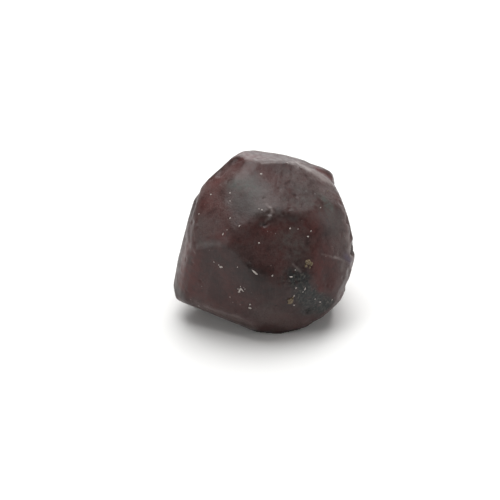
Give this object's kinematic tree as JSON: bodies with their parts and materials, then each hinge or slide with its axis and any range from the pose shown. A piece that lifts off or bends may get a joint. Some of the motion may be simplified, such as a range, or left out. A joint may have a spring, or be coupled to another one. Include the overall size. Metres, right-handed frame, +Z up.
{
  "type": "garnet crystal",
  "caption": "Loose dark red garnet crystal with flat, frosted and slightly worn growth faces and a greenish mineral skin low on one side",
  "frame": {"origin": "centre of the bounding box in plan, at the level of the flat face that the crystal rests on", "axes": "+Z up from the face it rests on; +X along its widest extent; the view with the large lit face looks along +Y"},
  "size_m": [0.0198, 0.0194, 0.0177],
  "materials": {
    "garnet": "frosted natural crystal faces with a dull sheen, red where thin"
  },
  "bodies": {
    "root": {"garnet_crystal": "garnet"}
  },
  "joints": []
}
